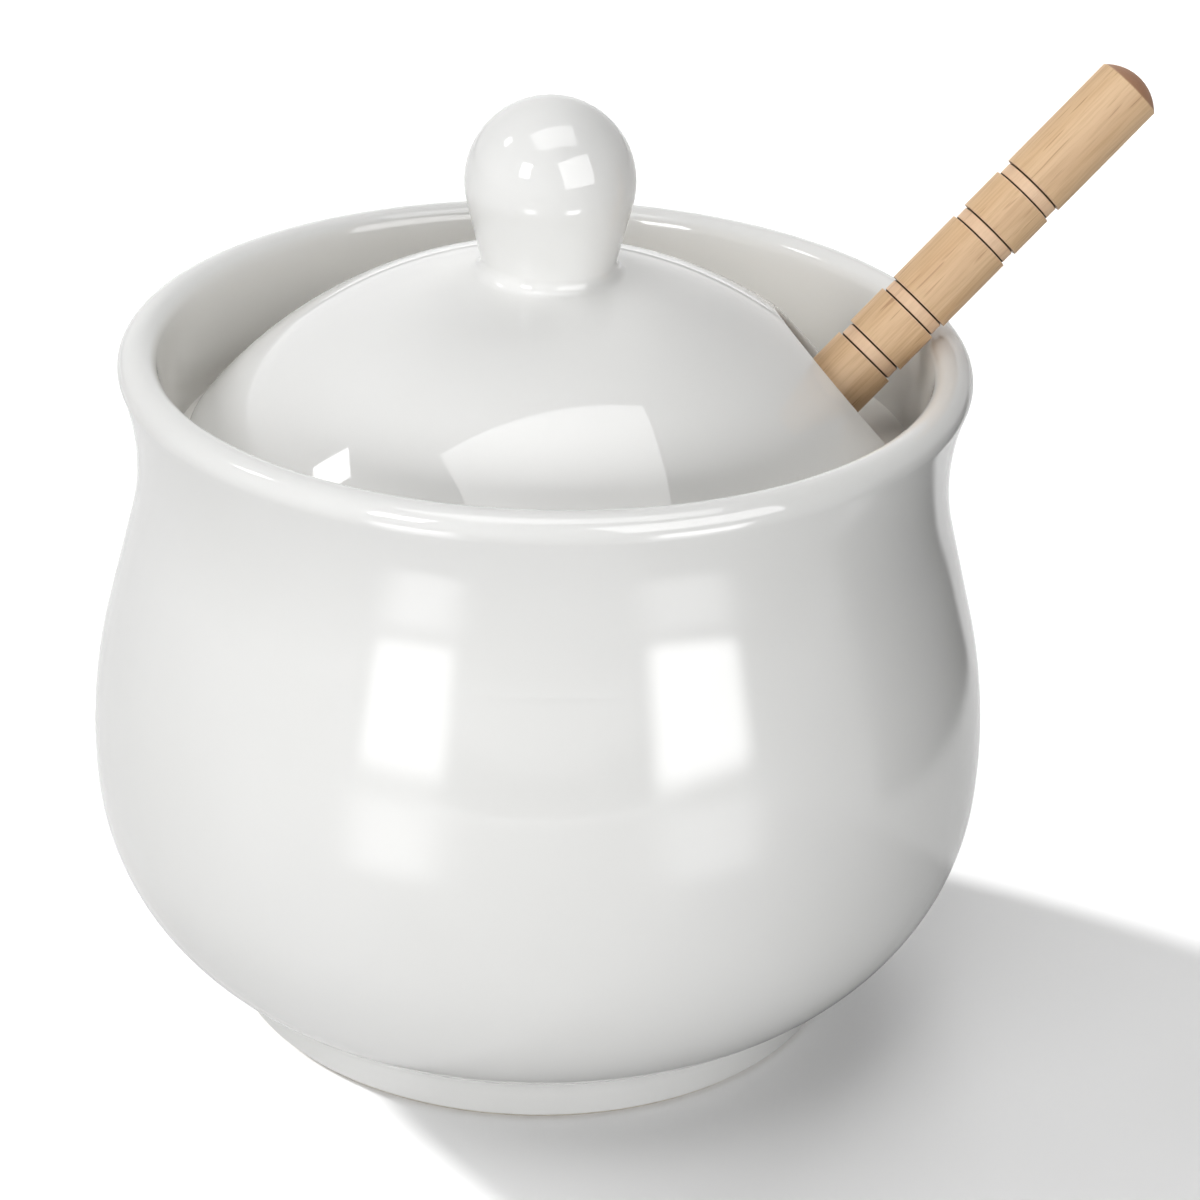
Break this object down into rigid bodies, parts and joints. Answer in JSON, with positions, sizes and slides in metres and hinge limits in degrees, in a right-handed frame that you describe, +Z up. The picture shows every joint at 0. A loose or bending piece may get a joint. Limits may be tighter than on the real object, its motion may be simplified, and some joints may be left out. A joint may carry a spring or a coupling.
{
  "type": "honey pot",
  "caption": "Bellied white-glazed honey pot on a ring foot, with a loose domed lid notched at its edge and a turned wooden dipper leaning out through the notch.",
  "frame": {"origin": "centre of the pot's round foot, in the plane it stands on", "axes": "+Z up along the pot's axis; +X from that axis towards the notch in the lid's edge, over which the dipper leans out; +Y completes the right-handed frame"},
  "size_m": [0.1274, 0.11, 0.1159],
  "materials": {
    "glaze": "high-gloss white glaze",
    "turned_wood": "plain, smooth-turned light beech"
  },
  "bodies": {
    "pot": {"pot": "glaze"},
    "lid": {"lid": "glaze"},
    "dipper": {"dipper": "turned_wood"}
  },
  "joints": [
    {"name": "lid_lift", "type": "slide", "parent": "pot", "child": "lid", "axis": [0, 0, 1], "range_m": [0, 0.1]},
    {"name": "dipper_slide", "type": "slide", "parent": "pot", "child": "dipper", "axis": [0.7134, 0.0712, 0.6972], "range_m": [0, 0.056]}
  ]
}
